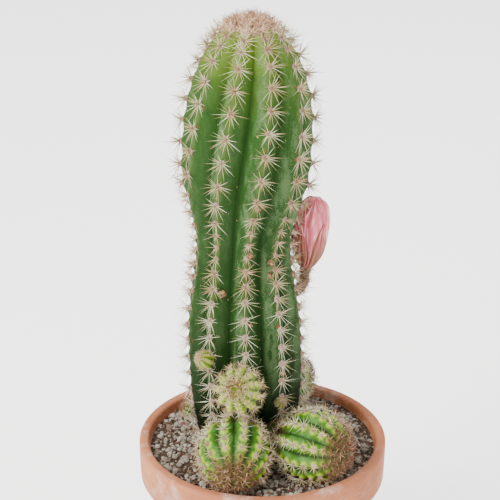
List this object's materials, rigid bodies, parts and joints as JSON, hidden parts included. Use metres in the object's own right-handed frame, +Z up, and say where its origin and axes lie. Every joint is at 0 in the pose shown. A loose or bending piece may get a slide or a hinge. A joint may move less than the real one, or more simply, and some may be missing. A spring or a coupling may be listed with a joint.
{
  "type": "potted column cactus",
  "caption": "Tall ribbed column cactus with a waisted stem, round offsets at its foot and a pink flower bud, in a plain round clay pot.",
  "frame": {"origin": "centre of the pot's underside", "axes": "+Z up along the plant; the plant's front, with the offset that faces the viewer, looks along -Y; the flower bud is towards +X"},
  "size_m": [0.2404, 0.2404, 0.609],
  "materials": {
    "terracotta": "matte unglazed",
    "cactus_soil": "rough grit",
    "stem_skin": "waxy satin",
    "offset_skin": "waxy satin",
    "tube_skin": "scaly matte",
    "tepal_pink": "soft matte petal",
    "tepal_dusky": "soft matte petal",
    "spine": "satin horn",
    "areole_felt": "woolly"
  },
  "bodies": {
    "root": {"pot": "terracotta", "drain_crock": "terracotta", "soil": "cactus_soil", "main_stem": "stem_skin", "offset_front_left": "offset_skin", "offset_right": "offset_skin", "offset_front": "offset_skin", "offset_back_right": "offset_skin", "offset_tiny_left": "offset_skin", "offset_tiny_right": "offset_skin", "offset_tiny_far_left": "offset_skin", "floral_tube": "tube_skin", "bud_core": "tepal_pink", "inner_tepal_1": "tepal_pink", "inner_tepal_2": "tepal_pink", "inner_tepal_3": "tepal_pink", "inner_tepal_4": "tepal_pink", "inner_tepal_5": "tepal_pink", "outer_tepal_1": "tepal_dusky", "outer_tepal_2": "tepal_dusky", "outer_tepal_3": "tepal_dusky", "outer_tepal_4": "tepal_dusky", "outer_tepal_5": "tepal_dusky"}
  },
  "joints": []
}
